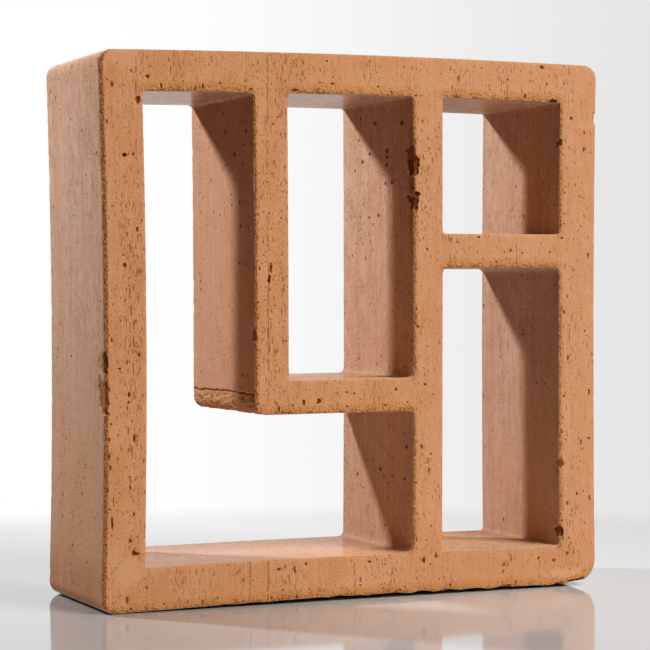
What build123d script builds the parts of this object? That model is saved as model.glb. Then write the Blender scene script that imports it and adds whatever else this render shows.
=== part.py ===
# Breeze block of fired clay: a square frame with an offset maze of webs, pushed through a die as one
# piece and wire-cut to length. It stands on its bed face with its front towards -Y, in millimetres.
# The origin is the middle of the bed face.
from build123d import *

import os

# Overall size
block_width = 250.0
block_height = 250.0
block_depth = 80.0

# Outer frame walls, as the die sets them
left_wall = 19.5
right_wall = 19.0
bed_wall = 19.5
top_wall = 18.5

# Inner webs
hanging_web = 16.0  # comes down from the top wall and ends in the cross bar
standing_web = 15.0  # runs the whole height, from the bed wall to the top wall
cross_bar = 15.5  # foot of the closed middle cell
shelf_bar = 16.5  # parts the two cells on the right

# Clear widths and heights of the cells
channel_width = 53.0  # upright leg of the L-shaped channel
channel_foot_height = 66.5  # lying leg of the L-shaped channel
middle_cell_width = 64.0
lower_cell_height = 132.5

# Rounding left by the die
outer_corner_radius = 6.5
web_corner_radius = 6.0  # the one corner of the webs that stands free in the channel
cell_corner_radius = 2.0

# Faces of the walls and webs across the block, from left to right
channel_left = left_wall - block_width / 2
hanging_web_left = channel_left + channel_width
middle_cell_left = hanging_web_left + hanging_web
middle_cell_right = middle_cell_left + middle_cell_width
right_cells_left = middle_cell_right + standing_web
right_cells_right = block_width / 2 - right_wall

# Faces of the walls and webs up the block, from the bed face
bed_top = bed_wall
cross_bar_bottom = bed_top + channel_foot_height
cross_bar_top = cross_bar_bottom + cross_bar
shelf_bottom = bed_top + lower_cell_height
shelf_top = shelf_bottom + shelf_bar
ceiling = block_height - top_wall


def upright_cell(left, right, bottom, top):
    """A four-cornered cell of the die plan, with its corners rounded."""
    with BuildSketch(Plane.XZ) as cell:
        with Locations(((left + right) / 2, (bottom + top) / 2)):
            Rectangle(right - left, top - bottom)
        fillet(cell.vertices(), cell_corner_radius)
    return cell.sketch


# L-shaped channel: down the left side and along the foot to the standing web
with BuildSketch(Plane.XZ) as channel:
    with BuildLine():
        Polyline(
            (channel_left, ceiling),
            (hanging_web_left, ceiling),
            (hanging_web_left, cross_bar_bottom),
            (middle_cell_right, cross_bar_bottom),
            (middle_cell_right, bed_top),
            (channel_left, bed_top),
            close=True,
        )
    make_face()
    # The corner of the webs stands free in the channel; once rounded, its arc's two ends are the nearest
    web_corner = (hanging_web_left, cross_bar_bottom)
    fillet(channel.vertices().sort_by_distance(web_corner)[0], web_corner_radius)
    fillet(channel.vertices().sort_by_distance(web_corner)[2:], cell_corner_radius)

# The three closed cells
middle_cell = upright_cell(middle_cell_left, middle_cell_right, cross_bar_top, ceiling)
upper_right_cell = upright_cell(right_cells_left, right_cells_right, shelf_top, ceiling)
lower_right_cell = upright_cell(right_cells_left, right_cells_right, bed_top, shelf_bottom)

# The block itself: the frame's outline less its channel and cells, run through the depth
with BuildPart() as block:
    with BuildSketch(Plane.XZ) as die_plan:
        with Locations((0, block_height / 2)):
            Rectangle(block_width, block_height)
        fillet(die_plan.vertices(), outer_corner_radius)
        add(channel.sketch, mode=Mode.SUBTRACT)
        add([middle_cell, upper_right_cell, lower_right_cell], mode=Mode.SUBTRACT)
    extrude(amount=block_depth / 2, both=True)

block.part.label = "block"

os.makedirs("parts", exist_ok=True)
export_step(block.part, "parts/block.step")
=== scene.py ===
# A breeze block of fired clay, pushed through a die and wire-cut, standing on its bed face.
import bpy
import bmesh
import math
import random
from mathutils import Matrix, Vector, noise
from mathutils.kdtree import KDTree


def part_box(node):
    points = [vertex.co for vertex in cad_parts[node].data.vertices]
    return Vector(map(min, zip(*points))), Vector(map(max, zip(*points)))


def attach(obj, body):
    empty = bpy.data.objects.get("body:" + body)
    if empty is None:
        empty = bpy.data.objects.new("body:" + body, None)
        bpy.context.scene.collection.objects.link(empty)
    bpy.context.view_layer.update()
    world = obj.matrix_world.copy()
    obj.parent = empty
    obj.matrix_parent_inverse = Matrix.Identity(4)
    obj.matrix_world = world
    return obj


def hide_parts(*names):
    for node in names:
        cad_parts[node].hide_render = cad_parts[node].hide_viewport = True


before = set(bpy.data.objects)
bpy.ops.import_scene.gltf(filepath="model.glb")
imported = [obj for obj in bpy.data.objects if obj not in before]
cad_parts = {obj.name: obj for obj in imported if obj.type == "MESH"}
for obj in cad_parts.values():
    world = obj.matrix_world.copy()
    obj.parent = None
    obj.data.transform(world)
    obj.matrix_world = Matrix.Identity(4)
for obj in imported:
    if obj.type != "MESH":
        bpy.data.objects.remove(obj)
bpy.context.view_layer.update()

mm = 0.001  # the block is modelled in millimetres and brought to metres at the end
tiny = 1e-4
wireCut, dieSkin = 0, 1  # the block's two finishes, in the order of its material slots

# The die plan, as seen from the front

plan = {
    "leftWall": 20.0,
    "channelWidth": 51.7,
    "hangingWeb": 17.2,
    "middleCell": 63.1,
    "standingWeb": 15.85,
    "rightWall": 19.65,
    "bedWall": 19.5,
    "channelFoot": 66.5,
    "crossBar": 15.5,
    "lowerCell": 133.1,
    "shelfBar": 15.9,
    "topWall": 18.5,
    "outerRadius": 6.5,
    "wornRadius": 13.0,  # the bottom right corner has lost more
    "webRadius": 6.0,
}

low, high = (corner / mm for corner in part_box("block"))
frontY, backY = low.y, high.y

channelLeft = low.x + plan["leftWall"]
webLeft = channelLeft + plan["channelWidth"]
middleLeft = webLeft + plan["hangingWeb"]
middleRight = middleLeft + plan["middleCell"]
cellsLeft = middleRight + plan["standingWeb"]
cellsRight = high.x - plan["rightWall"]

bedTop = low.z + plan["bedWall"]
barBottom = bedTop + plan["channelFoot"]
barTop = barBottom + plan["crossBar"]
shelfBottom = bedTop + plan["lowerCell"]
shelfTop = shelfBottom + plan["shelfBar"]
ceiling = high.z - plan["topWall"]

openings = {  # left, right, bottom, top
    "channelUpright": (channelLeft, webLeft, bedTop, ceiling),
    "channelFoot": (channelLeft, middleRight, bedTop, barBottom),
    "middleCell": (middleLeft, middleRight, barTop, ceiling),
    "lowerCell": (cellsLeft, cellsRight, bedTop, shelfBottom),
    "upperCell": (cellsLeft, cellsRight, shelfTop, ceiling),
}

hollowCorners = {  # radius that the die core left in each hollow corner, and which way the corner points
    (channelLeft, bedTop): (0.8, (-1, -1)),
    (middleRight, bedTop): (3.0, (1, -1)),
    (middleRight, barBottom): (1.0, (1, 1)),
    (channelLeft, ceiling): (1.2, (-1, 1)),
    (webLeft, ceiling): (2.4, (1, 1)),
    (middleLeft, barTop): (0.8, (-1, -1)),
    (middleRight, barTop): (2.4, (1, -1)),
    (middleLeft, ceiling): (0.8, (-1, 1)),
    (middleRight, ceiling): (1.0, (1, 1)),
    (cellsLeft, shelfTop): (1.8, (-1, -1)),
    (cellsRight, shelfTop): (0.8, (1, -1)),
    (cellsLeft, ceiling): (0.8, (-1, 1)),
    (cellsRight, ceiling): (0.8, (1, 1)),
    (cellsLeft, bedTop): (0.8, (-1, -1)),
    (cellsRight, bedTop): (1.6, (1, -1)),
    (cellsLeft, shelfBottom): (3.0, (-1, 1)),
    (cellsRight, shelfBottom): (2.5, (1, 1)),
}

clay = {
    "pitch": 1.15,  # of the quads on the two wire-cut faces
    "slices": 13,  # through the depth, finer towards the arrises
    "sliceGrading": 1.7,
    "arris": 0.55,  # rounding left on the arrises where the wire leaves the clay
    "arrisSlope": (0.1, 0.98),  # how far a rounded arris faces along the depth, from and to
    "ease": 1.5,  # how far the quads behind a hollow corner are eased, in radii
    "shake": 0.28,  # how far a quad's corner strays on the wire-cut faces
}


def gridLines(faces, pitch):
    lines = [faces[0]]
    for start, end in zip(faces, faces[1:]):
        steps = round((end - start) / pitch)
        lines += [start + (end - start) * step / steps for step in range(1, steps + 1)]
    return lines


def roundCorner(bm, corner, toward, radius, fade=0.0):
    # Pulls the quads of a square corner onto its arc, and eases the quads behind a hollow one
    centre = [c - t * radius for c, t in zip(corner, toward)]
    for v in bm.verts:
        dx = (v.co.x - centre[0]) * toward[0]
        dz = (v.co.z - centre[1]) * toward[1]
        reach = max(dx, dz)
        if min(dx, dz) <= 0 or reach > radius + fade + tiny:
            continue
        pull = reach / math.hypot(dx, dz)
        if reach > radius + tiny:
            pull = 1 + (pull - 1) * (1 - (reach - radius) / fade)
        v.co.x = centre[0] + dx * pull * toward[0]
        v.co.z = centre[1] + dz * pull * toward[1]


def diePlan():
    # The front face as one sheet of small quads, with its openings cut out and its corners rounded
    xLines = gridLines([low.x, channelLeft, webLeft, middleLeft, middleRight, cellsLeft, cellsRight, high.x],
                       clay["pitch"])
    zLines = gridLines([low.z, bedTop, barBottom, barTop, shelfBottom, shelfTop, ceiling, high.z],
                       clay["pitch"])
    across, up = len(xLines) - 1, len(zLines) - 1
    bm = bmesh.new()
    bmesh.ops.create_grid(bm, x_segments=across, y_segments=up, size=0.5)
    for v in bm.verts:
        v.co = (xLines[round((v.co.x + 0.5) * across)], frontY, zLines[round((v.co.y + 0.5) * up)])
    cut = []
    for f in bm.faces:
        c = f.calc_center_median()
        if any(left < c.x < right and bottom < c.z < top for left, right, bottom, top in openings.values()):
            cut.append(f)
    bmesh.ops.delete(bm, geom=cut, context="FACES")
    for x, towardX in ((low.x, -1), (high.x, 1)):
        for z, towardZ in ((low.z, -1), (high.z, 1)):
            worn = towardX > 0 > towardZ
            roundCorner(bm, (x, z), (towardX, towardZ), plan["wornRadius" if worn else "outerRadius"])
    roundCorner(bm, (webLeft, barBottom), (-1, -1), plan["webRadius"])
    for corner, (radius, toward) in hollowCorners.items():
        roundCorner(bm, corner, toward, radius, clay["ease"] * radius)
    return bm


def settleOrder(bm):
    # The bevel's points come in a new order each time; built again in order of place, every run is the same
    for index, v in enumerate(sorted(bm.verts, key=lambda v: tuple(round(c, 4) for c in v.co))):
        v.index = index
    bm.verts.sort()
    for parts in (bm.edges, bm.faces):
        for index, part in enumerate(sorted(parts, key=lambda part: sorted(v.index for v in part.verts))):
            part.index = index
        parts.sort()
    ordered = bpy.data.meshes.new("ordered")
    bm.to_mesh(ordered)
    bm.clear()
    bm.from_mesh(ordered)
    bpy.data.meshes.remove(ordered)


def pushThrough(bm):
    # The sheet run through the depth, cut into slices, with its arrises rounded
    sheet = bmesh.ops.extrude_face_region(bm, geom=bm.faces[:])["geom"]
    bmesh.ops.translate(bm, verts=[g for g in sheet if isinstance(g, bmesh.types.BMVert)],
                        vec=(0, backY - frontY, 0))
    through = [e for e in bm.edges if abs(e.verts[0].co.y - e.verts[1].co.y) > backY]
    bmesh.ops.subdivide_edges(bm, edges=through, cuts=clay["slices"], use_grid_fill=True)
    for v in bm.verts:
        fromArris = 1 - abs(v.co.y) / backY
        v.co.y = math.copysign(backY * (1 - fromArris ** clay["sliceGrading"]), v.co.y)
    bmesh.ops.recalc_face_normals(bm, faces=bm.faces[:])
    for f in bm.faces:
        f.material_index = wireCut if abs(f.normal.y) > 0.5 else dieSkin
    arrises = [e for e in bm.edges if len({f.material_index for f in e.link_faces}) == 2]
    bmesh.ops.bevel(bm, geom=arrises, offset=clay["arris"], affect="EDGES", segments=2, profile=0.5,
                    material=-1, clamp_overlap=True)
    settleOrder(bm)


def arrisPoints(bm):
    # Only the rounded arrises slope against the depth
    least, most = clay["arrisSlope"]
    sloping = [f for f in bm.faces if least < abs(f.normal.y) < most]
    return list(dict.fromkeys(v for f in sloping for v in f.verts))


bm = diePlan()
pushThrough(bm)
# The materials paint shade from cavity: the clay is coloured darker in pits and broken places
cavity = bm.verts.layers.float.new("cavity")  # 1 in pits and broken places
crumble = bm.verts.layers.float.new("crumble")  # 1 on an arris that faces down, 0 a few millimetres away
torn = bm.verts.layers.float.new("torn")  # the same for the arrises that face left
arrisVerts = arrisPoints(bm)
print("block pushed through its die:", len(bm.faces), "faces")

# As fired: each wall and bar shifts, bows and leans a little

asFired = {  # shift, bow in the middle and lean from end to end, mm, and where the wall stands
    "leftWall": (0.30, 2.02, -0.25, low.x + plan["leftWall"] / 2),
    "hangingWeb": (0.71, 0.61, 0.11, (webLeft + middleLeft) / 2),
    "standingWeb": (-0.29, 0.36, 0.48, (middleRight + cellsLeft) / 2),
    "rightWall": (-0.45, -1.05, 0.45, high.x - plan["rightWall"] / 2),
    "bedWall": (0.03, 1.05, 0.00, low.z + plan["bedWall"] / 2),
    "crossBar": (-0.44, 0.27, 0.16, (barBottom + barTop) / 2),
    "shelfBar": (-0.15, -0.04, 0.02, (shelfBottom + shelfTop) / 2),
    "topWall": (-1.50, 1.44, 0.51, high.z - plan["topWall"] / 2),
}
uprights = ("leftWall", "hangingWeb", "standingWeb", "rightWall")
levels = ("bedWall", "crossBar", "shelfBar", "topWall")


def firedShift(names, place, along):
    # How far the clay at this place has moved, eased from one wall to the next
    moves = []
    for name in names:
        shift, bow, lean, wall = asFired[name]
        bowed = bow * 4 * along * (1 - along)  # the whole bow halfway along
        leaning = lean * (2 * along - 1)
        moves.append((wall, shift + bowed + leaning))
    if place <= moves[0][0]:
        return moves[0][1]
    for (wallA, moveA), (wallB, moveB) in zip(moves, moves[1:]):
        if place <= wallB:
            share = (place - wallA) / (wallB - wallA)
            return moveA + (moveB - moveA) * share
    return moves[-1][1]


def fire(bm):
    for v in bm.verts:
        alongX = (v.co.x - low.x) / (high.x - low.x)
        alongZ = (v.co.z - low.z) / (high.z - low.z)
        moveX = firedShift(uprights, v.co.x, alongZ)
        moveZ = firedShift(levels, v.co.z, alongX)
        v.co.x += moveX
        v.co.z += moveZ


def ripple(place, shape):
    # Soft waves in the clay; the shape is their height, wavelength and seed
    height, wavelength, seed = shape
    return height * noise.noise(Vector(place) / wavelength + Vector((seed, seed, seed)))


def rising(value, start, end):
    return min(1.0, max(0.0, (value - start) / (end - start)))


def fading(distance, reach):
    return max(0.0, 1 - distance / reach)


bedHollow = {  # along its front the bed face stands a little clear of the floor
    "lift": 1.25,
    "depth": 16.0,
    "height": 9.0,
    "span": (-112.0, -20.0),  # it grows between these two places
    "mean": 0.85,  # uneven along the front: a mean share and waves
    "waves": (0.6, 7.0, 2.9),
}


def hollowBed(bm):
    for v in bm.verts:
        along = rising(v.co.x, *bedHollow["span"])
        towardFront = fading(v.co.y - frontY, bedHollow["depth"])
        towardBed = fading(v.co.z - low.z, bedHollow["height"])
        uneven = bedHollow["mean"] + ripple((v.co.x, 0, 0), bedHollow["waves"])
        v.co.z += bedHollow["lift"] * along * towardFront * towardBed * uneven


fire(bm)
hollowBed(bm)
bm.normal_update()

# Torn arrises, worse where the wire came out: on the edges that face left and down

tearing = {
    "base": 0.04,
    "fine": (0.45, 1.5, 3.1),  # waves: height, wavelength and seed
    "coarse": (1.2, 4.5, 7.7),
    "coarseStart": 0.144,  # only what rises above this tears
    "cleanShare": 0.35,  # how much an arris tears that faces right or up
    "rightShare": 0.25,  # the arrises that face left are less and less torn towards the right
    "skinShare": 0.3,  # how much of it shows on the side of the die skin
    "skinNormal": 0.2,  # a point that faces along the depth by less than this is die skin
    "tornReach": 3.0,
    "crumbleReach": 5.5,
    "roughness": 0.25,  # of the crumbling faces, mm
    "lumps": ((1.0, 2.1, 4.4), (0.5, 1.2, 2.2)),
}


def tearArrises(bm, verts):
    tree = KDTree(len(verts))
    facing = []
    for index, v in enumerate(verts):
        side = Vector((v.normal.x, v.normal.z)).normalized()
        left, under = max(0.0, -side.x), max(0.0, -side.y)
        facing.append((left, under))
        left *= 1 + (tearing["rightShare"] - 1) * rising(v.co.x, webLeft, cellsRight)
        share = max(tearing["cleanShare"], left, under)
        share *= tearing["skinShare"] + (1 - tearing["skinShare"]) * abs(v.normal.y)
        coarse = max(0.0, ripple(v.co, tearing["coarse"]) - tearing["coarseStart"])
        depth = tearing["base"] + share * (abs(ripple(v.co, tearing["fine"])) + coarse)
        tree.insert(v.co, index)
        v.co -= v.normal * depth
    tree.balance()
    arrises = set(verts)
    for v in bm.verts:
        if abs(v.normal.y) < tearing["skinNormal"]:
            continue
        index, distance = tree.find(v.co)[1:]
        left, under = facing[index]
        v[torn] = left * fading(distance, tearing["tornReach"])
        v[crumble] = under * fading(distance, tearing["crumbleReach"])
        if v not in arrises:
            lumps = sum(abs(ripple(v.co, waves)) for waves in tearing["lumps"])
            v.co.y -= math.copysign(tearing["roughness"] * lumps * max(v[torn], v[crumble]), v.co.y)


tearArrises(bm, arrisVerts)
print("arrises torn:", len(arrisVerts), "points")

# The foot of the hanging web, torn rough under a seam across its left face

seam = {
    "y": (-36.0, -8.0, 33.0),  # the seam's course across the face
    "z": (95.0, 95.7, 95.1),
    "waves": (0.8, 5.0, 6.6),
    "width": 0.7,
    "depth": 1.1,
    "over": 2.2,  # the foot's quads reach this far over the seam
    "under": 3.0,  # and this far under the cross bar
    "leftReach": 3.0,  # from the web's left face
    "cornerReach": 9.0,  # from the rounded corner
    "leftFacing": -0.9,  # a quad's normal: how far left on the face and round the corner, and how far along
    "cornerFacing": 0.1,
    "mostAlong": 0.3,
}

footClay = {
    "rounds": 2,  # of cutting its quads finer
    "start": 0.4,  # how far under the seam the torn clay starts
    "roughness": 0.9,
    "roughFull": 1.5,  # how far under the seam it is fully rough
    "mean": 0.5,  # lumps: a mean depth and waves
    "lumps": ((1.0, 2.4, 8.8), (0.6, 1.1, 1.9)),
    "darkDepth": 0.75,  # lumps deeper than this are painted dark, as their shade
    "arrisFade": 3.0,  # it fades out this far from the arrises
    "crumble": 0.25,
    "crumbleFull": 9.0,
}


def seamHeight(y):
    yLow, yMiddle, yHigh = seam["y"]
    zLow, zMiddle, zHigh = seam["z"]
    if y < yMiddle:
        height = zLow + (zMiddle - zLow) * (y - yLow) / (yMiddle - yLow)
    else:
        height = zMiddle + (zHigh - zMiddle) * (y - yMiddle) / (yHigh - yMiddle)
    return height + ripple((y, 0, 0), seam["waves"])


def webFoot(f):
    # Whether a quad lies on the foot: low on the web's left face, or on the rounded corner under it
    c = f.calc_center_median()
    fromLeft, fromBar = abs(c.x - webLeft), abs(c.z - barBottom)
    onLeft = fromLeft < seam["leftReach"] and f.normal.x < seam["leftFacing"]
    onCorner = max(fromLeft, fromBar) < seam["cornerReach"] and f.normal.x < seam["cornerFacing"]
    if f.material_index != dieSkin or not (onLeft or onCorner) or abs(f.normal.y) >= seam["mostAlong"]:
        return False
    return barBottom - seam["under"] < c.z < seamHeight(c.y) + seam["over"]


def cutFiner(bm, edges):
    # In the order of their indices, so that every run gives the same mesh
    bm.edges.index_update()
    bmesh.ops.subdivide_edges(bm, edges=sorted(edges, key=lambda e: e.index), cuts=1, use_grid_fill=True)


def roughenFoot(bm):
    for _ in range(footClay["rounds"]):
        bm.normal_update()
        cutFiner(bm, {e for f in bm.faces if webFoot(f) for e in f.edges})
    bm.normal_update()
    foot = [f for f in bm.faces if webFoot(f)]
    below = []
    for f in foot:
        c = f.calc_center_median()
        if c.z < seamHeight(c.y) - footClay["start"]:
            below.append(f)
    moves = []
    for v in dict.fromkeys(v for f in foot for v in f.verts):
        under = seamHeight(v.co.y) - v.co.z
        groove = fading(abs(under), seam["width"])
        rough = rising(under, 0.0, footClay["roughFull"])
        lumps = footClay["mean"] + sum(ripple(v.co, waves) for waves in footClay["lumps"])
        depth = seam["depth"] * groove + footClay["roughness"] * rough * max(0.0, lumps)
        depth *= min(1.0, (backY - abs(v.co.y)) / footClay["arrisFade"])
        moves.append((v, -v.normal * depth))
        # Painted shade: the seam's groove and the deepest lumps are marked as cavity, and the clay is
        # coloured darker there
        dark = rough * min(1.0, max(0.0, lumps - footClay["darkDepth"]))
        v[cavity] = max(v[cavity], groove, dark)
        crumbly = rough + max(0.0, under / footClay["crumbleFull"])
        v[crumble] = max(v[crumble], footClay["crumble"] * crumbly)
    for v, move in moves:
        v.co += move
    for f in below:
        f.material_index = wireCut
    return len(below)


print("foot of the hanging web roughened:", roughenFoot(bm), "faces")

# Places broken out of the clay, with how far they reach in x, y and z, which way they eat in and how deep

rightIn, leftIn, upIn, straightIn = (0.7, 0.7, 0), (-0.7, 0.7, 0), (0, 0.7, 0.7), (0, 1, 0)
chips = (  # middle, reach, which way, depth and shade
    ((28.1, frontY, 199.2), (2.6, 6.0, 5.4), rightIn, 2.0, 1.0),
    ((27.6, frontY + 1, 205.5), (1.3, 6.0, 5.0), rightIn, 0.5, 0.8),
    ((27.5, frontY, 190.6), (1.0, 3.0, 5.0), rightIn, 0.4, 0.7),
    ((28.2, frontY, 183.0), (2.0, 4.8, 5.0), rightIn, 1.8, 1.0),
    ((29.4, frontY, 186.4), (1.6, 3.0, 1.3), rightIn, 1.0, 1.0),
    ((-122.2, frontY, 110.6), (1.5, 2.5, 4.2), rightIn, 1.2, 0.85),
    ((-124.2, frontY + 1.5, 110.6), (2.0, 6.0, 5.8), rightIn, 0.7, 0.6),
    ((-123.6, frontY, 96.6), (2.9, 9.5, 9.4), rightIn, 1.3, 0.6),
    ((-106.3, frontY, 226.3), (1.1, 2.0, 1.7), straightIn, 1.0, 0.8),
    ((124.2, frontY, 224.0), (1.8, 3.0, 3.0), leftIn, 0.8, 0.3),
    ((113.0, frontY, 1.8), (4.5, 9.0, 1.8), upIn, 1.5, 0.9),
    ((104.0, frontY, 0.4), (3.5, 5.0, 2.0), upIn, 1.1, 0.9),
    ((76.0, frontY, 0.8), (2.0, 4.0, 1.8), upIn, 1.0, 0.9),
    ((104.5, frontY, 26.5), (2.2, 4.0, 3.0), rightIn, 1.6, 0.8),
    ((104.8, frontY, 59.0), (1.4, 3.0, 2.6), rightIn, 1.0, 0.7),
    ((104.9, frontY, 211.8), (1.4, 4.0, 2.0), rightIn, 1.1, 0.8),
    ((101.5, frontY, 231.2), (2.4, 4.0, 1.4), upIn, 1.0, 0.8),
    ((-52.2, frontY, 122.0), (1.3, 3.0, 3.0), rightIn, 0.9, 0.7),
)

frontPits = (  # x, z, half width, half height, depth
    (-113.1, 201.8, 1.3, 1.0, 1.6), (-108.9, 202.3, 0.7, 1.0, 1.2), (-112.9, 153.5, 0.9, 1.2, 1.2),
    (-109.7, 238.7, 0.9, 0.7, 0.9), (-118.5, 232.3, 0.6, 1.2, 0.9), (-102.2, 236.8, 1.2, 0.9, 1.0),
    (-111.4, 96.4, 0.8, 1.6, 1.3), (-119.4, 39.5, 0.8, 2.6, 1.2), (-111.2, 32.1, 1.0, 1.2, 1.1),
    (-112.7, 6.2, 0.8, 1.8, 1.1), (-120.2, 64.6, 0.8, 1.6, 1.1), (-120.7, 69.4, 0.8, 1.4, 1.1),
    (-120.6, 77.0, 0.8, 1.4, 1.1), (-106.6, 113.9, 0.6, 1.0, 0.9), (-115.6, 107.9, 1.2, 0.7, 0.9),
    (-119.2, 120.7, 0.7, 1.1, 0.9), (-113.5, 158.1, 0.7, 0.9, 0.9), (-108.9, 26.3, 2.0, 1.3, 1.7),
    (-109.3, 43.9, 0.7, 1.1, 0.9), (-109.1, 77.0, 0.7, 2.0, 1.1), (111.0, 223.4, 1.2, 0.8, 1.2),
    (118.0, 209.2, 0.8, 0.9, 1.2), (118.1, 216.9, 0.6, 0.8, 0.9), (116.2, 69.0, 0.6, 1.8, 1.0),
    (120.6, 70.8, 0.6, 0.9, 0.9), (108.5, 40.1, 0.8, 1.1, 1.1), (113.9, 44.2, 0.8, 0.8, 1.1),
    (120.2, 158.6, 0.7, 1.3, 0.9), (107.0, 131.3, 0.8, 0.9, 0.9), (118.4, 122.2, 0.6, 0.8, 0.8),
    (120.6, 92.9, 0.7, 1.8, 1.1), (-13.1, 236.2, 1.0, 0.6, 0.9), (95.3, 247.4, 1.4, 0.8, 1.0),
    (-15.9, 246.4, 0.9, 0.7, 0.8), (-32.0, 232.6, 2.4, 0.8, 0.9), (-44.5, 147.3, 0.9, 2.4, 1.6),
    (-49.3, 151.8, 0.8, 0.8, 1.0), (-43.7, 152.0, 0.6, 3.0, 1.0), (-20.4, 91.7, 1.6, 1.6, 1.4),
    (-27.8, 91.4, 1.0, 1.3, 1.0), (-6.4, 95.5, 0.7, 0.6, 0.8), (18.2, 96.0, 0.7, 0.6, 0.8),
    (31.6, 69.7, 0.7, 1.0, 0.9), (36.1, 65.8, 0.6, 0.8, 0.8), (34.7, 62.1, 0.6, 0.9, 0.8),
    (35.2, 58.4, 0.6, 0.9, 0.8), (28.8, 26.1, 0.7, 1.0, 0.9), (78.5, 160.8, 0.8, 0.7, 0.8),
    (84.4, 159.4, 0.7, 0.7, 0.8), (-32.6, 15.3, 0.6, 1.8, 0.9), (-27.1, 17.7, 0.8, 0.7, 0.8),
    (-40.4, 16.1, 1.5, 0.8, 1.0), (4.7, 17.2, 1.0, 0.7, 0.9), (-31.6, 3.0, 0.8, 1.0, 0.9),
    (32.5, 16.6, 0.8, 2.0, 1.0), (38.7, 18.4, 0.8, 1.3, 0.9), (93.1, 14.5, 0.7, 0.8, 0.8),
    (74.4, 12.4, 0.8, 0.7, 0.8), (108.4, 15.8, 0.8, 0.8, 0.8), (101.3, 13.1, 0.8, 0.7, 0.8),
)

frontPit = {  # shares of the sizes above, and what all these pits have in common
    "width": 0.7,
    "height": 0.9,
    "depth": 0.7,
    "inward": 1.5,
    "shade": 0.8,
}

breaking = {
    "rounds": 2,  # of cutting the quads finer
    "finer": 1.3,  # how far out they are cut finer, in reaches
    "margin": 1.0,  # and this much further out the points are looked at, mm
    "ragged": (0.7, 1.2, 1.7),  # waves in the rim; this wavelength grows with the root of the reach
    "largest": 12.0,  # the reach up to which it grows
    "raggedFine": (0.6, 2.2, 3.3),
    "raggedLeast": 0.4,
    "flatness": 0.6,  # below 1 the bottom is flatter and the rim steeper
    "mean": 0.9,  # crumbs on the bottom: a mean depth and waves
    "crumbs": ((0.3, 2.0, 5.3), (0.4, 4.6, 9.1)),
    "shadeRise": 3.0,  # how soon the shade is full inside the rim
}


def away(point, place):
    # 0 in the middle of a broken place, 1 at its rim
    return math.sqrt(sum(((p - a) / r) ** 2 for p, a, r in zip(point, place["at"], place["reach"])))


def pointsNear(bm, places):
    # The points in reach of each place; cutting quads finer makes new ones, so they are found afresh
    points = bm.verts[:]
    tree = KDTree(len(points))
    for index, v in enumerate(points):
        tree.insert(v.co, index)
    tree.balance()
    near = []
    for place in places:
        radius = breaking["finer"] * max(place["reach"]) + breaking["margin"]
        near.append([points[index] for co, index, distance in tree.find_range(place["at"], radius)])
    return near


def breakOut(bm, places):
    # The quads round each place are cut finer, then the clay in it is pushed in
    for _ in range(breaking["rounds"]):
        edges = set()
        for place, verts in zip(places, pointsNear(bm, places)):
            for f in {f for v in verts for f in v.link_faces}:
                if away(f.calc_center_median(), place) < breaking["finer"]:
                    edges |= set(f.edges)
        cutFiner(bm, edges)
    height, wavelength, seed = breaking["ragged"]
    for place, verts in zip(places, pointsNear(bm, places)):
        grown = wavelength * math.sqrt(min(breaking["largest"], max(place["reach"])))
        for v in verts:
            ragged = 1 + ripple(v.co, (height, grown, seed)) + ripple(v.co, breaking["raggedFine"])
            share = 1 - max(breaking["raggedLeast"], ragged) * away(v.co, place) ** 2
            if share > 0:
                crumb = breaking["mean"] + sum(ripple(v.co, waves) for waves in breaking["crumbs"])
                v.co += Vector(place["into"]) * place["depth"] * share ** breaking["flatness"] * crumb
                v[cavity] = max(v[cavity], place["shade"] * min(1.0, breaking["shadeRise"] * share))


places = [dict(zip(("at", "reach", "into", "depth", "shade"), chip)) for chip in chips]
for x, z, halfWidth, halfHeight, depth in frontPits:
    reach = (frontPit["width"] * halfWidth, frontPit["inward"], frontPit["height"] * halfHeight)
    places.append({"at": (x, frontY, z), "reach": reach, "into": straightIn,
                   "depth": frontPit["depth"] * depth, "shade": frontPit["shade"]})
breakOut(bm, places)
print("chips and pits broken out:", len(places))

# Pits that the wire opened in the two cut faces

pits = {
    "seed": 4,
    "chance": 0.0028,  # for each quad
    "crumblyChance": 0.03,  # more of them in crumbling clay
    "crumblyStart": 0.1,
    "offFace": 0.35,  # only quads no further off the flat faces than this
    "lengths": (1, 1, 1, 1, 2),  # in quads, upwards
    "rim": 0.44,
    "depth": (0.3, 0.8),
    "unevenDepth": (0.8, 1.1),
    "shake": 0.2,
    "shade": 0.8,
}


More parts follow.
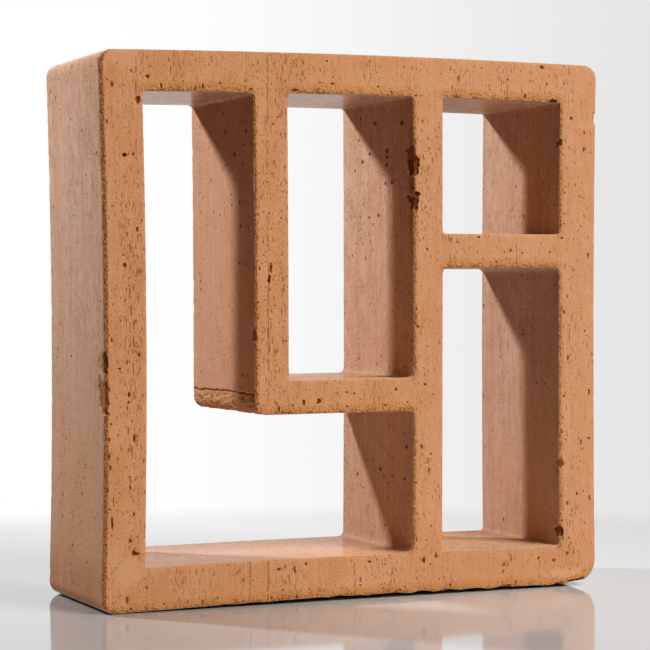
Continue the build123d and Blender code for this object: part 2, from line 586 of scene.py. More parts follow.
def openPits(bm):
    rng = random.Random(pits["seed"])
    for v in bm.verts:
        if abs(abs(v.co.y) - backY) < tiny:
            v.co.x += rng.uniform(-clay["shake"], clay["shake"])
            v.co.z += rng.uniform(-clay["shake"], clay["shake"])
    flat = [f for f in bm.faces if len(f.verts) == 4 and f.material_index == wireCut
            and all(abs(abs(v.co.y) - backY) < pits["offFace"] and v[cavity] == 0 for v in f.verts)]
    free = set(flat)
    rng.shuffle(flat)
    islands = []
    for f in flat:
        nearArris = max(v[crumble] + v[torn] for v in f.verts)
        chance = pits["chance"] + pits["crumblyChance"] * max(0.0, nearArris - pits["crumblyStart"])
        if f not in free or rng.random() > chance:
            continue
        island = [f]
        for _ in range(rng.choice(pits["lengths"]) - 1):
            top = max(island[-1].edges, key=lambda e: e.verts[0].co.z + e.verts[1].co.z)
            nextUp = [g for g in top.link_faces if g not in island and g in free]
            if not nextUp:
                break
            island.append(nextUp[0])
        free -= {g for f in island for v in f.verts for g in v.link_faces}
        islands.append((island, rng.uniform(*pits["depth"])))
    bmesh.ops.inset_region(bm, faces=[f for island, depth in islands for f in island],
                           thickness=pits["rim"], use_even_offset=True)
    for island, depth in islands:
        for v in dict.fromkeys(v for f in island for v in f.verts):
            v.co += Vector((rng.uniform(-pits["shake"], pits["shake"]), 0,
                            rng.uniform(-pits["shake"], pits["shake"])))
            v.co.y -= math.copysign(depth * rng.uniform(*pits["unevenDepth"]), v.co.y)
            v[cavity] = pits["shade"]
    return len(islands)


print("pits opened:", openPits(bm))

# The mesh, with its sharp edges kept

sharpAngle = 38  # degrees


def finishMesh(bm, name):
    bmesh.ops.scale(bm, vec=(mm, mm, mm), verts=bm.verts)
    bmesh.ops.recalc_face_normals(bm, faces=bm.faces[:])
    mesh = bpy.data.meshes.new(name)
    bm.to_mesh(mesh)
    bm.free()
    mesh.shade_smooth()
    mesh.set_sharp_from_angle(angle=math.radians(sharpAngle))
    piece = bpy.data.objects.new(name, mesh)
    bpy.context.collection.objects.link(piece)
    return piece


block = finishMesh(bm, "firedBlock")
print("triangles:", sum(len(p.vertices) - 2 for p in block.data.polygons))

# Node helpers: a socket given as an input is linked, anything else is set


def addNode(tree, kind, values=None, **settings):
    # Kind is a node's type without its first part, such as Math or MapRange
    node = tree.nodes.new("ShaderNode" + kind)
    for name, value in settings.items():
        setattr(node, name, value)
    for name, value in (values or {}).items():
        if isinstance(value, bpy.types.NodeSocket):
            tree.links.new(value, node.inputs[name])
        else:
            node.inputs[name].default_value = value
    return node


def calc(tree, operation, a, b=0.0, c=0.0, clamp=False):
    values = {0: a, 1: b, 2: c}
    return addNode(tree, "Math", values, operation=operation, use_clamp=clamp).outputs[0]


def times(tree, product, *others):
    for other in others:
        product = calc(tree, "MULTIPLY", product, other)
    return product


def greatest(tree, largest, *others):
    for other in others:
        largest = calc(tree, "MAXIMUM", largest, other)
    return largest


def rest(tree, value):
    return calc(tree, "SUBTRACT", 1.0, value)


def summed(tree, parts):
    # Each part is a value and its weight
    total = 0.0
    for value, weight in parts:
        total = calc(tree, "MULTIPLY_ADD", value, weight, total)
    return total


def vectorCalc(tree, operation, a, b=(0, 0, 0), c=(0, 0, 0), output="Vector"):
    return addNode(tree, "VectorMath", {0: a, 1: b, 2: c}, operation=operation).outputs[output]


def scaled(tree, a, factor):
    return addNode(tree, "VectorMath", {0: a, "Scale": factor}, operation="SCALE").outputs[0]


def split(tree, a):
    return addNode(tree, "SeparateXYZ", {"Vector": a}).outputs


def joined(tree, x, y, z):
    return addNode(tree, "CombineXYZ", {"X": x, "Y": y, "Z": z}).outputs[0]


def cloudy(tree, place, scale, detail=2.0, roughness=0.6):
    values = {"Vector": place, "Scale": scale, "Detail": detail, "Roughness": roughness}
    return addNode(tree, "TexNoise", values).outputs


def blend(tree, share, a, b):
    shades = [shade if isinstance(shade, bpy.types.NodeSocket) else (*shade, 1) for shade in (a, b)]
    return addNode(tree, "Mix", {0: share, 6: shades[0], 7: shades[1]}, data_type="RGBA").outputs[2]


def ramp(tree, value, start, end, atStart=0.0, atEnd=1.0):
    values = {"Value": value, "From Min": start, "From Max": end, "To Min": atStart, "To Max": atEnd}
    return addNode(tree, "MapRange", values, interpolation_type="SMOOTHSTEP").outputs[0]


effects = {
    "wobbleScale": 0.9,  # unevenness of the pits: its scale and how far it goes, mm
    "wobble": (0.9, 0.9, 0.9),
    "smallest": 0.4,  # the smallest pit's radius, as a share; the largest is 1 more
    "rim": 0.55,  # where a pit's slope ends, of its radius
    "crowdScale": 0.07,  # of the clusters that marks keep together in
    "markEdge": 0.05,  # how far above its start a mark is full
    "lineEdge": (0.45, 0.20),  # how far from its middle a dragged line starts and is full, mm
    "ragged": 1.4,  # how much a spot's edge is broken up
    "spotEdge": (1.1, 0.5),  # where a spot starts and is full, in reaches
    "softRoughness": 0.5,  # roughness of the softer clouds
}


def newGroup(name, vectors, numbers, output):
    group = bpy.data.node_groups.new(name, "ShaderNodeTree")
    for label in vectors:
        group.interface.new_socket(label, in_out="INPUT", socket_type="NodeSocketVector")
    for label in numbers:
        group.interface.new_socket(label, in_out="INPUT", socket_type="NodeSocketFloat")
    group.interface.new_socket(output, in_out="OUTPUT", socket_type="NodeSocketFloat")
    return group, group.nodes.new("NodeGroupInput").outputs, group.nodes.new("NodeGroupOutput").inputs[0]


def useGroup(tree, group, **values):
    return addNode(tree, "Group", values, node_tree=group).outputs[0]


def pitGroup():
    # Round or drawn-out holes: one in some of the cells of a ragged lattice
    group, given, result = newGroup("clayPits", ("place",), ("cell", "radius", "share", "stretch"), "pit")
    wobble = cloudy(group, given["place"], effects["wobbleScale"], 1.0, effects["softRoughness"])["Color"]
    centred = vectorCalc(group, "SUBTRACT", wobble, (0.5, 0.5, 0.5))
    ragged = vectorCalc(group, "MULTIPLY_ADD", centred, effects["wobble"], given["place"])
    squash = joined(group, 1.0, 1.0, calc(group, "DIVIDE", 1.0, given["stretch"]))
    drawn = vectorCalc(group, "MULTIPLY", ragged, squash)
    inCells = scaled(group, drawn, calc(group, "DIVIDE", 1.0, given["cell"]))
    cells = addNode(group, "TexVoronoi", {"Vector": inCells, "Scale": 1.0}, voronoi_dimensions="3D").outputs
    chance = addNode(group, "SeparateColor", {"Color": cells["Color"]}).outputs
    size = times(group, given["radius"], calc(group, "ADD", chance["Green"], effects["smallest"]))
    hole = ramp(group, cells["Distance"], times(group, size, effects["rim"]), size, 1.0, 0.0)
    chosen = calc(group, "LESS_THAN", chance["Red"], given["share"])
    group.links.new(times(group, hole, chosen), result)
    return group


def toneGroup():
    # Cloudy tone: a soft value around 0.5, at one size, drawn out along one axis
    group, given, result = newGroup("clayTone", ("place", "stretch"), ("size",), "tone")
    drawn = vectorCalc(group, "DIVIDE", given["place"], given["stretch"])
    cloud = cloudy(group, drawn, calc(group, "DIVIDE", 1.0, given["size"]))
    group.links.new(cloud["Fac"], result)
    return group


def markGroup():
    # Ragged marks that keep together in loose clusters: low values of start give more and larger ones
    group, given, result = newGroup("clayMarks", ("place",), ("size", "stretch", "start", "cluster"), "mark")
    drawn = vectorCalc(group, "DIVIDE", given["place"], joined(group, 1.0, 1.0, given["stretch"]))
    marks = cloudy(group, drawn, calc(group, "DIVIDE", 1.0, given["size"]))["Fac"]
    crowd = cloudy(group, drawn, effects["crowdScale"], 1.0, effects["softRoughness"])["Fac"]
    shift = times(group, calc(group, "SUBTRACT", crowd, 0.5), given["cluster"])
    start = calc(group, "SUBTRACT", given["start"], shift)
    end = calc(group, "ADD", start, effects["markEdge"])
    group.links.new(ramp(group, marks, start, end), result)
    return group


def lineGroup():
    # A hair-thin upright line that the wire dragged down the front, from low to high
    group, given, result = newGroup("dragLine", ("place",), ("x", "low", "high"), "line")
    where = split(group, given["place"])
    away = calc(group, "ABSOLUTE", calc(group, "SUBTRACT", where["X"], given["x"]))
    above = calc(group, "GREATER_THAN", where["Z"], given["low"])
    below = calc(group, "LESS_THAN", where["Z"], given["high"])
    onFront = calc(group, "LESS_THAN", where["Y"], 0.0)
    line = times(group, ramp(group, away, *effects["lineEdge"]), above, below, onFront)
    group.links.new(line, result)
    return group


def spotGroup():
    # 1 around the centre, fading out as far as its reach; ragged, a value around 0.5, breaks its edge up
    group, given, result = newGroup("claySpot", ("place", "centre", "reach"), ("ragged",), "spot")
    offset = vectorCalc(group, "SUBTRACT", given["place"], given["centre"])
    share = vectorCalc(group, "DIVIDE", offset, given["reach"])
    away = vectorCalc(group, "LENGTH", share, output="Value")
    centred = calc(group, "SUBTRACT", given["ragged"], 0.5)
    edge = calc(group, "MULTIPLY_ADD", centred, effects["ragged"], away)
    group.links.new(ramp(group, edge, *effects["spotEdge"]), result)
    return group


clayPits = pitGroup()
dragLine = lineGroup()
claySpot = spotGroup()
clayTone = toneGroup()
clayMarks = markGroup()


def startMaterial(name, look):
    material = bpy.data.materials.new(name)
    material.use_nodes = True
    tree = material.node_tree
    place = scaled(tree, addNode(tree, "TexCoord").outputs["Object"], 1 / mm)
    tones = {}
    for kind, (size, stretch) in look["tones"].items():
        tones[kind] = useGroup(tree, clayTone, place=place, size=size, stretch=stretch)
    return material, tree, place, tones


def attribute(tree, name):
    return addNode(tree, "Attribute", attribute_name=name).outputs["Fac"]


def facingWays(tree):
    return split(tree, addNode(tree, "NewGeometry").outputs["True Normal"])


def scattered(tree, place, crowd, kinds):
    # Pits of each kind, more of them where the clay is crowded
    found = []
    for cell, radius, share, stretch in kinds:
        chance = times(tree, crowd, share)
        found.append(useGroup(tree, clayPits, place=place, cell=cell, radius=radius, share=chance,
                              stretch=stretch))
    return found


def marked(tree, place, size, stretch, start, cluster):
    return useGroup(tree, clayMarks, place=place, size=size, stretch=stretch, start=start, cluster=cluster)


def spotted(tree, place, ragged, spots):
    # The strongest of the spots at each place
    strongest = 0.0
    for centre, reach in spots:
        spot = useGroup(tree, claySpot, place=place, centre=centre, reach=reach, ragged=ragged)
        strongest = greatest(tree, strongest, spot)
    return strongest


def layered(tree, color, tones, look):
    # The look's layers laid over the colour, each where its tone rises or falls past a value
    for tone, start, end, share, shade in look["layers"]:
        color = blend(tree, ramp(tree, tones[tone], start, end, 0.0, share), color, look[shade])
    return color


def finishMaterial(material, look, color, height):
    tree = material.node_tree
    shader = tree.nodes["Principled BSDF"]
    bump = addNode(tree, "Bump", {"Height": height, "Distance": mm, "Strength": 1.0})
    tree.links.new(color, shader.inputs["Base Color"])
    tree.links.new(bump.outputs["Normal"], shader.inputs["Normal"])
    shader.inputs["Roughness"].default_value = look["roughness"]
    shader.inputs["Specular IOR Level"].default_value = 0.0
    return shader


cutClay = {
    "warm": (0.645, 0.300, 0.138),
    "olive": (0.625, 0.305, 0.118),
    "pinkish": (0.665, 0.302, 0.160),
    "pale": (0.715, 0.365, 0.200),
    "deep": (0.560, 0.238, 0.098),
    "crumbly": (0.600, 0.255, 0.085),
    "crumbs": (0.740, 0.385, 0.165),
    "smooth": (0.700, 0.365, 0.205),
    "right": (0.690, 0.365, 0.222),  # the clay is a little paler and pinker there
    "torn": (0.590, 0.325, 0.180),  # where it was torn and not cut
    "mark": (0.240, 0.070, 0.014),
    # broken is the colour of broken clay, darkened as painted shade inside chips; hole is painted shade, the
    # dark inside pits and deep chips
    "broken": (0.370, 0.130, 0.034),
    "hole": (0.170, 0.045, 0.010),
    "roughness": 0.92,
    "tones": {  # size in mm, and how far it is drawn out in x, y and z
        "cloud": (11.0, (1, 1, 1.5)),
        "patches": (5.0, (1, 1, 2.5)),
        "speckle": (0.8, (1, 1, 1.5)),
        "grain": (0.35, (1, 1, 1)),
        "drag": (0.9, (1, 1, 16)),
        "wisps": (3.0, (1, 1, 1)),
        "crowd": (12.0, (1, 1, 1.4)),
    },
    "layers": (  # tone, from where to where, share and colour
        ("patches", 0.50, 0.68, 0.60, "olive"),
        ("patches", 0.50, 0.32, 0.60, "pinkish"),
        ("drag", 0.52, 0.72, 0.45, "pale"),
        ("drag", 0.48, 0.28, 0.45, "deep"),
        ("speckle", 0.53, 0.68, 0.50, "pale"),
        ("speckle", 0.48, 0.32, 0.50, "deep"),
    ),
    "pits": (  # lattice cell, radius, share of the cells, stretch: specks and holes
        (2.1, 0.15, 0.34, 1.4),
        (3.9, 0.095, 0.50, 1.8),
    ),
    "marks": (  # size, stretch, start, cluster and share: strokes, hairs and smudges
        (0.85, 5.5, 0.640, 0.32, 0.75),
        (0.50, 12.0, 0.660, 0.32, 0.4),
        (1.2, 1.8, 0.668, 0.30, 0.6),
    ),
    "edgeMarks": (  # size, stretch, start, how much lower at the arris, cluster: crumbs and tears
        (1.0, 1.0, 0.75, -0.18, 0.2),
        (1.1, 1.8, 0.76, -0.26, 0.2),
    ),
    "edgeMarkShare": 0.75,
    "relief": (0.10, 0.12, 0.25, 0.8, -0.3),  # grain, drag, speckle, rough arrises and holes, mm
    "footMarkReach": (3.0, 1.5, 1.9),
    "lineSway": (0.8, -0.4),  # of the dragged lines: whole width and its left end, mm
    "warmShare": 0.6,
    "speckShare": 0.6,
    "smoothShare": 0.7,
    "tornShare": 0.85,
    "streakShare": 0.85,
    "lineShare": 0.6,
    "holeShare": 0.7,
    "ramps": {  # from, to and the values there
        "cloud": (0.35, 0.65),
        "crumbWisps": (0.3, 0.6, 0.6, 1.3),
        "lineWisps": (0.35, 0.55, 0.15, 1.0),
        "crowd": (0.36, 0.64, 0.25, 1.7),
        "crowdAcross": (-80.0, 40.0, 1.0, 0.55),
        "fewerMarks": (-60.0, 40.0, 0.0, 0.02),
        "straightOn": (0.5, 0.8),
        "sideways": (-0.3, -0.8),
        "leftmost": (-116.0, -112.0),
        "outermost": (low.x + 12, low.x + 7, 0.0, 0.18),
        "paler": (-60.0, 125.0, 0.0, 0.45),
        "lowDown": (35.0, 12.0),
        "lowRight": (0.0, 60.0, 0.0, 0.35),
        "crumbly": (0.05, 0.7, 0.0, 0.7),
        "crumbs": (0.2, 0.8, 0.0, 0.6),
        "crumbSpeckle": (0.55, 0.7),
        "leftEdge": (0.05, 0.55, 0.0, 0.4),
        "band": (0.66, 0.84),
        "bandSpeckle": (0.38, 0.58, 0.9, 0.4),
        "bandAcross": (-40.0, 100.0, 1.0, 0.35),
        "broken": (0.1, 0.6, 0.0, 0.9),
        "shade": (0.3, 0.9),
        "shadeSpeckle": (0.66, 0.42, 0.6, 0.95),
    },
}

dragLines = (  # x, from z, to z
    (-107.4, 226.0, 244.5),
    (-45.2, 196.0, 248.0),
    (-45.0, 92.0, 176.0),
    (-54.4, 2.0, 21.0),
    (-45.8, 2.0, 20.0),
    (-2.7, 2.0, 17.0),
    (93.6, 3.0, 14.0),
    (81.5, 152.5, 165.0),
)

smears = (  # middle and reach
    ((-114.0, frontY, 244.5), (9.0, 6.0, 5.0)),
    ((-111.5, frontY, 18.0), (9.0, 6.0, 6.5)),
    ((106.0, frontY, 6.8), (11.0, 6.0, 3.0)),
    ((118.5, frontY, 220.6), (6.0, 6.0, 2.2)),
)

footMarks = (  # dark streaks on the torn foot: y, z
    (30.5, 91.5),
    (14.9, 92.4),
    (-13.0, 90.8),
    (-24.4, 92.7),
    (-35.5, 93.8),
    (6.4, 89.0),
)


def makeCutClay():
    look = cutClay
    material, tree, place, tones = startMaterial("wireCutClay", look)

    def shaped(value, name):
        return ramp(tree, value, *look["ramps"][name])

    speckle, drag, wisps = tones["speckle"], tones["drag"], tones["wisps"]
    leftEdge, broken = attribute(tree, "torn"), attribute(tree, "cavity")
    crumbs = times(tree, attribute(tree, "crumble"), shaped(wisps, "crumbWisps"))
    where, facing = split(tree, place), facingWays(tree)
    across = where["X"]
    straight = shaped(calc(tree, "ABSOLUTE", facing["Y"]), "straightOn")
    sideways = times(tree, shaped(facing["X"], "sideways"), shaped(across, "leftmost"))
    crowd = times(tree, shaped(tones["crowd"], "crowd"), shaped(across, "crowdAcross"))
    specks, holes = scattered(tree, place, crowd, look["pits"])
    streaks = spotted(tree, place, speckle, [((webLeft, y, z), look["footMarkReach"]) for y, z in footMarks])
    smooth = spotted(tree, place, wisps, smears)

    # Lines that the wire dragged, swaying a little
    sway = joined(tree, calc(tree, "MULTIPLY_ADD", drag, *look["lineSway"]), 0.0, 0.0)
    swayed = vectorCalc(tree, "ADD", place, sway)
    lines = 0.0
    for x, zLow, zHigh in dragLines:
        lines = greatest(tree, lines, useGroup(tree, dragLine, place=swayed, x=x, low=zLow, high=zHigh))
    lines = times(tree, lines, shaped(wisps, "lineWisps"))

    # The clay's own colour
    color = blend(tree, shaped(tones["cloud"], "cloud"), look["deep"], look["pale"])
    color = blend(tree, look["warmShare"], color, look["warm"])
    color = blend(tree, shaped(across, "paler"), color, look["right"])
    color = layered(tree, color, tones, look)
    lowRight = times(tree, shaped(where["Z"], "lowDown"), shaped(across, "lowRight"))
    color = blend(tree, lowRight, color, look["deep"])
    color = blend(tree, shaped(crumbs, "crumbly"), color, look["crumbly"])
    light = times(tree, shaped(speckle, "crumbSpeckle"), shaped(crumbs, "crumbs"))
    color = blend(tree, light, color, look["crumbs"])
    color = blend(tree, times(tree, smooth, look["smoothShare"]), color, look["smooth"])
    color = blend(tree, times(tree, sideways, look["tornShare"]), color, look["torn"])
    color = blend(tree, shaped(leftEdge, "leftEdge"), color, look["deep"])

    # Marks, and the brown band along the torn arrises
    fewer = shaped(across, "fewerMarks")
    brown = times(tree, specks, look["speckShare"])
    for size, stretch, start, cluster, share in look["marks"]:
        mark = marked(tree, place, size, stretch, calc(tree, "ADD", fewer, start), cluster)
        brown = greatest(tree, brown, times(tree, mark, share))
    brown = times(tree, brown, rest(tree, smooth))
    for edge, (size, stretch, start, lower, cluster) in zip((crumbs, leftEdge), look["edgeMarks"]):
        mark = marked(tree, place, size, stretch, calc(tree, "MULTIPLY_ADD", edge, lower, start), cluster)
        brown = greatest(tree, brown, times(tree, mark, look["edgeMarkShare"]))
    wideEdge = calc(tree, "ADD", leftEdge, shaped(across, "outermost"))
    band = times(tree, shaped(wideEdge, "band"), shaped(speckle, "bandSpeckle"), straight,
                 shaped(across, "bandAcross"))
    brown = greatest(tree, brown, band, times(tree, streaks, look["streakShare"]))
    hollow = greatest(tree, brown, holes)
    brown = greatest(tree, brown, times(tree, lines, look["lineShare"]))
    color = blend(tree, brown, color, look["mark"])
    # Painted shade: where the cavity attribute and the holes lie, chips and pits are coloured darker, as the
    # shade inside them
    color = blend(tree, shaped(broken, "broken"), color, look["broken"])
    shade = times(tree, shaped(broken, "shade"), shaped(speckle, "shadeSpeckle"))
    dark = greatest(tree, times(tree, holes, look["holeShare"]), shade)
    color = blend(tree, dark, color, look["hole"])

    rough = times(tree, greatest(tree, crumbs, leftEdge), speckle)
    height = summed(tree, zip((tones["grain"], drag, speckle, rough, hollow), look["relief"]))
    finishMaterial(material, look, color, height)
    return material


skinClay = {
    "pink": (0.700, 0.445, 0.330),
    "tan": (0.655, 0.410, 0.285),
    "brown": (0.540, 0.300, 0.185),
    "stain": (0.560, 0.305, 0.180),
    # browner towards the front: partly the clay's own colour, partly painted shade on the inner walls
    "brownAndFrontShade": (0.640, 0.335, 0.170),
    # painted light: a paler colour on faces that look down, and on some that look up, standing in for light
    # bounced onto the ceilings and more light on the floors
    "under": (0.830, 0.540, 0.350),
    "footStain": (0.455, 0.200, 0.088),
    "lipCentre": (middleRight, frontY, 190.0),  # torn clay along the edge between the two big chips, darkened further as painted shade
    "lipReach": (3.0, 5.5, 36.0),
    "mark": (0.250, 0.085, 0.028),
    # broken is the colour of broken clay, darkened as painted shade inside chips; hole is painted shade, the
    # dark inside pits
    "broken": (0.370, 0.150, 0.050),
    "hole": (0.160, 0.046, 0.013),
    "roughness": 0.9,
    "coatRoughness": 0.22,  # where the clay slid over the die core and kept its polish
    "coatIor": 1.08,
    "tones": {
        "cloud": (16.0, (1, 1, 2.5)),
        "bands": (7.0, (1, 1, 40)),
        "blotch": (5.0, (1, 1, 1.3)),
        "streaks": (2.2, (1, 1, 9)),
        "speckle": (0.8, (1, 1, 1.2)),
        "crowd": (14.0, (1, 1, 1.4)),
    },
    "layers": (
        ("bands", 0.55, 0.35, 0.35, "brown"),
        ("streaks", 0.53, 0.38, 0.45, "brown"),
        ("blotch", 0.52, 0.32, 0.50, "brown"),
        ("speckle", 0.46, 0.28, 0.50, "brown"),
    ),
    "pits": (  # holes and pin holes, both coloured dark as painted shade inside them
        (4.2, 0.145, 0.65, 1.2),
        (1.9, 0.18, 0.6, 1.1),
    ),
    "marks": (1.0, 1.2, 0.625, 0.25),
    "relief": (0.12, 0.25, -0.2, -0.5),  # speckle, blotches, marks and holes, mm
    "wallPitReach": (3.0, 1.9, 1.3),  # in depth, and in radii along the wall and up
    "webReach": 6.0,  # how near the hanging web's left face its own stain goes
    "webStainShare": 0.65,
    "webFrontShare": 0.8,  # how much less the hanging web's left face browns, and is painted with shade, towards the front
    "markShare": 0.6,
    "pinShare": 0.7,
    "lipShare": 0.55,
    "holeShare": 0.85,
    "wallPitShare": 0.9,
    "ramps": {  # from, to and the values there
        "cloud": (0.35, 0.65),
        "crowd": (0.36, 0.64, 0.4, 1.6),
        "inside": (low.x + 8, low.x + 12),
        "leftward": (-0.5, -0.8),
        "stained": (190.0, 0.0, 0.0, 0.95),
        "stainInside": (0.0, 1.0, 1.0, 0.35),
        "towardFront": (0.0, 0.75 * frontY),
        "frontInside": (0.0, 1.0, 0.2, 0.65),
        "footStain": (30.0, 10.0, 0.0, 0.8),
        "under": (-0.3, -0.9, 0.0, 0.9),
        "over": (0.3, 0.9, 0.0, 0.6),
        "rightOf": (20.0, 40.0),
        "above": (60.0, 80.0),
        "broken": (0.1, 0.6, 0.0, 0.9),
        "shade": (0.58, 0.95),
        "shadeSpeckle": (0.66, 0.42, 0.6, 0.95),
        "coatUnder": (-0.3, -0.9),
        "coatUnderAcross": (-10.0, 55.0, 0.95, 0.3),
        "coatOver": (0.3, 0.9),
        "coatOverUp": (60.0, 30.0, 0.4, 0.7),
        "coatOverAcross": (20.0, 40.0, 1.0, 0.0),
    },
}

wallPits = {  # in the walls that face left, coloured dark as the painted shade inside them: y, z, radius
    webLeft: (
        (-2.7, 224.4, 0.7),
        (-5.7, 215.6, 0.8),
        (-16.7, 204.4, 1.1),
        (-27.9, 208.3, 0.7),
        (-26.9, 199.8, 0.7),
        (13.9, 193.9, 0.6),
        (-5.5, 199.9, 0.6),
        (-22.9, 182.4, 0.9),
        (-11.3, 186.4, 0.6),
        (10.8, 179.2, 0.6),
        (-23.6, 171.4, 1.0),
        (-22.3, 154.7, 0.8),
        (29.2, 146.5, 0.7),
        (-31.6, 214.5, 0.7),
    ),
    middleRight: (
        (-28.3, 220.1, 1.2),
        (1.8, 221.9, 1.0),
        (-11.7, 208.2, 1.1),
        (-11.6, 205.1, 0.9),
        (-11.1, 201.4, 0.9),
        (16.5, 204.2, 1.0),
        (8.3, 207.6, 0.8),
        (20.7, 214.9, 0.8),
        (-17.1, 193.1, 1.0),
        (-10.1, 192.7, 0.8),
        (-1.9, 177.7, 0.9),
        (8.5, 177.1, 0.7),
        (18.7, 225.2, 0.6),
        (-33.2, 68.9, 0.9),
        (-4.4, 56.6, 0.9),
        (-31.1, 53.8, 0.9),
        (22.1, 52.3, 0.8),
    ),
}


def makeSkinClay():
    look = skinClay
    material, tree, place, tones = startMaterial("dieSkinClay", look)

    def shaped(value, name):
        return ramp(tree, value, *look["ramps"][name])

    speckle, broken = tones["speckle"], attribute(tree, "cavity")
    specks = marked(tree, place, *look["marks"])
    holes, pinHoles = scattered(tree, place, shaped(tones["crowd"], "crowd"), look["pits"])
    depth, along, up = look["wallPitReach"]
    deepPits = spotted(tree, place, speckle, [((wall, y, z), (depth, along * radius, up * radius))
                                              for wall, pits in wallPits.items() for y, z, radius in pits])
    lip = spotted(tree, place, speckle, [(look["lipCentre"], look["lipReach"])])
    where, facing = split(tree, place), facingWays(tree)
    inside = shaped(where["X"], "inside")
    fromWeb = calc(tree, "ABSOLUTE", calc(tree, "SUBTRACT", where["X"], webLeft))
    onWeb = times(tree, calc(tree, "LESS_THAN", fromWeb, look["webReach"]), shaped(facing["X"], "leftward"))

    color = blend(tree, shaped(tones["cloud"], "cloud"), look["tan"], look["pink"])
    stained = times(tree, shaped(where["Z"], "stained"), shaped(inside, "stainInside"))
    stained = greatest(tree, stained, times(tree, onWeb, look["webStainShare"]))
    color = blend(tree, stained, color, look["stain"])
    # Painted shade, partly real: towards the front the skin is made browner, most on the inner walls, whose
    # front parts lie in shade; on the outer side it is the clay's own browning
    towardFront = times(tree, shaped(where["Y"], "towardFront"), shaped(inside, "frontInside"),
                        rest(tree, times(tree, onWeb, look["webFrontShare"])))
    color = blend(tree, towardFront, color, look["brownAndFrontShade"])
    footStain = times(tree, shaped(where["Z"], "footStain"), rest(tree, inside))
    color = blend(tree, footStain, color, look["footStain"])
    # Painted light: faces that look down, and those that look up right of the middle or high up, are made
    # paler, standing in for bounced light and sheen
    color = blend(tree, shaped(facing["Z"], "under"), color, look["under"])
    paintedFloorLight = greatest(tree, shaped(where["X"], "rightOf"), shaped(where["Z"], "above"))
    paintedFloorLight = times(tree, paintedFloorLight, shaped(facing["Z"], "over"))
    color = blend(tree, paintedFloorLight, color, look["under"])
    color = layered(tree, color, tones, look)
    brown = greatest(tree, times(tree, specks, look["markShare"]), times(tree, pinHoles, look["pinShare"]))
    color = blend(tree, brown, color, look["mark"])
    # Painted shade along the edge between the two big chips, in the colour of broken clay
    color = blend(tree, times(tree, lip, look["lipShare"]), color, look["broken"])
    # Painted shade: chips, holes and the deep wall pits are coloured darker, as the shade inside them
    color = blend(tree, shaped(broken, "broken"), color, look["broken"])
    shade = times(tree, shaped(broken, "shade"), shaped(speckle, "shadeSpeckle"))
    dark = greatest(tree, times(tree, holes, look["holeShare"]), shade,
                    times(tree, deepPits, look["wallPitShare"]))
    color = blend(tree, dark, color, look["hole"])

    height = summed(tree, zip((speckle, tones["blotch"], brown, holes), look["relief"]))
    shader = finishMaterial(material, look, color, height)
    under = times(tree, shaped(facing["Z"], "coatUnder"), shaped(where["X"], "coatUnderAcross"))
    over = times(tree, shaped(facing["Z"], "coatOver"), shaped(where["Z"], "coatOverUp"),
                 shaped(where["X"], "coatOverAcross"))
    tree.links.new(greatest(tree, under, over), shader.inputs["Coat Weight"])
    shader.inputs["Coat Roughness"].default_value = look["coatRoughness"]
    shader.inputs["Coat IOR"].default_value = look["coatIor"]
    return material


block.data.materials.append(makeCutClay())
block.data.materials.append(makeSkinClay())
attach(block, "root")
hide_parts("block")
print("clay finished")

# Table: a pale gloss top that fades out around the block

table = {
    "radius": 0.8,
    "fadeStart": 0.32,
    "fadeEnd": 0.44,
    # painted shade: the top is darker to the left, where less light falls beside the block's left side
    "leftColor": (0.372, 0.377, 0.395),
    "rightColor": (0.69, 0.71, 0.75),
    "span": (-0.16, 0.08),
    "roughness": 0.08,
    "ior": 1.46,
}


def makeTable():
    bm = bmesh.new()
    bmesh.ops.create_circle(bm, cap_ends=True, segments=96, radius=table["radius"])
    mesh = bpy.data.meshes.new("tableTop")
    bm.to_mesh(mesh)
    bm.free()
    top = bpy.data.objects.new("tableTop", mesh)
    bpy.context.collection.objects.link(top)
    material = bpy.data.materials.new("paleTable")
    material.use_nodes = True
    tree = material.node_tree
    shader = tree.nodes["Principled BSDF"]
    shader.inputs["Roughness"].default_value = table["roughness"]
    shader.inputs["IOR"].default_value = table["ior"]
    place = addNode(tree, "TexCoord").outputs["Object"]
    across = split(tree, place)["X"]
    color = blend(tree, ramp(tree, across, *table["span"]), table["leftColor"], table["rightColor"])
    tree.links.new(color, shader.inputs["Base Color"])
    away = vectorCalc(tree, "LENGTH", place, output="Value")
    fade = ramp(tree, away, table["fadeStart"], table["fadeEnd"])
    clear = addNode(tree, "BsdfTransparent")
    mix = addNode(tree, "MixShader", {0: fade, 1: shader.outputs[0], 2: clear.outputs[0]})
    tree.links.new(mix.outputs[0], tree.nodes["Material Output"].inputs["Surface"])
    mesh.materials.append(material)


makeTable()
print("table laid")

# Lamps and surroundings

lamps = {
    "key": {"at": (-0.413, 0.368, 0.47), "radius": 0.03, "power": 15.6},
    "front": {"at": (0.55, -1.05, 1.15), "aim": (0, 0, 0.12), "size": 0.8, "power": 28.6,
              "color": (1.0, 0.95, 0.87)},
}


def newLamp(name, kind):
    values = lamps[name]
    data = bpy.data.lights.new(name + "Lamp", kind)
    data.energy = values["power"]
    lamp = bpy.data.objects.new(name + "Lamp", data)
    lamp.location = values["at"]
    bpy.context.collection.objects.link(lamp)
    return lamp


keyLamp = newLamp("key", "POINT")
keyLamp.data.shadow_soft_size = lamps["key"]["radius"]
keyLamp.visible_camera = False

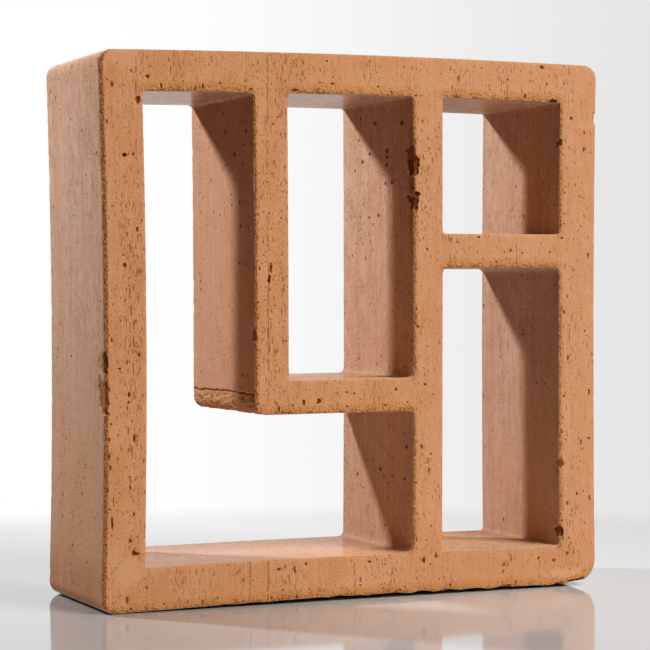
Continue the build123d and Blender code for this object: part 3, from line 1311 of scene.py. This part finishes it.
frontLamp = newLamp("front", "AREA")
frontLamp.data.size = lamps["front"]["size"]
frontLamp.data.color = lamps["front"]["color"]
toBlock = Vector(lamps["front"]["aim"]) - frontLamp.location
frontLamp.rotation_euler = toBlock.to_track_quat("-Z", "Y").to_euler()
print("lamps set")

surroundings = {
    "ambient": 0.01,
    "white": 1.0,
    "grey": 0.77,
    "whiteFrom": 0.30,  # the backdrop is white to the left and greys towards the right
    "greyFrom": 0.56,
}

world = bpy.data.worlds.new("studio")
bpy.context.scene.world = world
world.use_nodes = True
tree = world.node_tree
ambient = tree.nodes["Background"]
ambient.inputs["Color"].default_value = (1, 1, 1, 1)
ambient.inputs["Strength"].default_value = surroundings["ambient"]
toRight = split(tree, addNode(tree, "TexCoord").outputs["Generated"])["X"]
tone = ramp(tree, toRight, surroundings["whiteFrom"], surroundings["greyFrom"], surroundings["white"],
            surroundings["grey"])
backdrop = addNode(tree, "Background", {"Color": tone, "Strength": 1.0})
path = addNode(tree, "LightPath").outputs
seen = calc(tree, "ADD", path["Is Camera Ray"], path["Is Glossy Ray"])
seen = calc(tree, "ADD", seen, path["Is Transmission Ray"], clamp=True)
mix = addNode(tree, "MixShader", {0: seen, 1: ambient.outputs[0], 2: backdrop.outputs[0]})
tree.links.new(mix.outputs[0], tree.nodes["World Output"].inputs["Surface"])

# Camera

view = {
    "at": (-0.4369, -1.0070, 0.1432),
    "azimuth": 23.458,
    "pitch": -0.918,
    "roll": -0.1875,
    "lens": 128.17,
    "sensor": 36.0,
}

cameraData = bpy.data.cameras.new("camera")
cameraData.lens = view["lens"]
cameraData.sensor_width = view["sensor"]
camera = bpy.data.objects.new("camera", cameraData)
camera.matrix_world = (Matrix.Translation(view["at"])
                       @ Matrix.Rotation(math.radians(-view["azimuth"]), 4, "Z")
                       @ Matrix.Rotation(math.radians(90 + view["pitch"]), 4, "X")
                       @ Matrix.Rotation(math.radians(view["roll"]), 4, "Z"))
bpy.context.collection.objects.link(camera)
bpy.context.scene.camera = camera
bpy.context.scene.view_settings.view_transform = "Standard"
print("camera set")
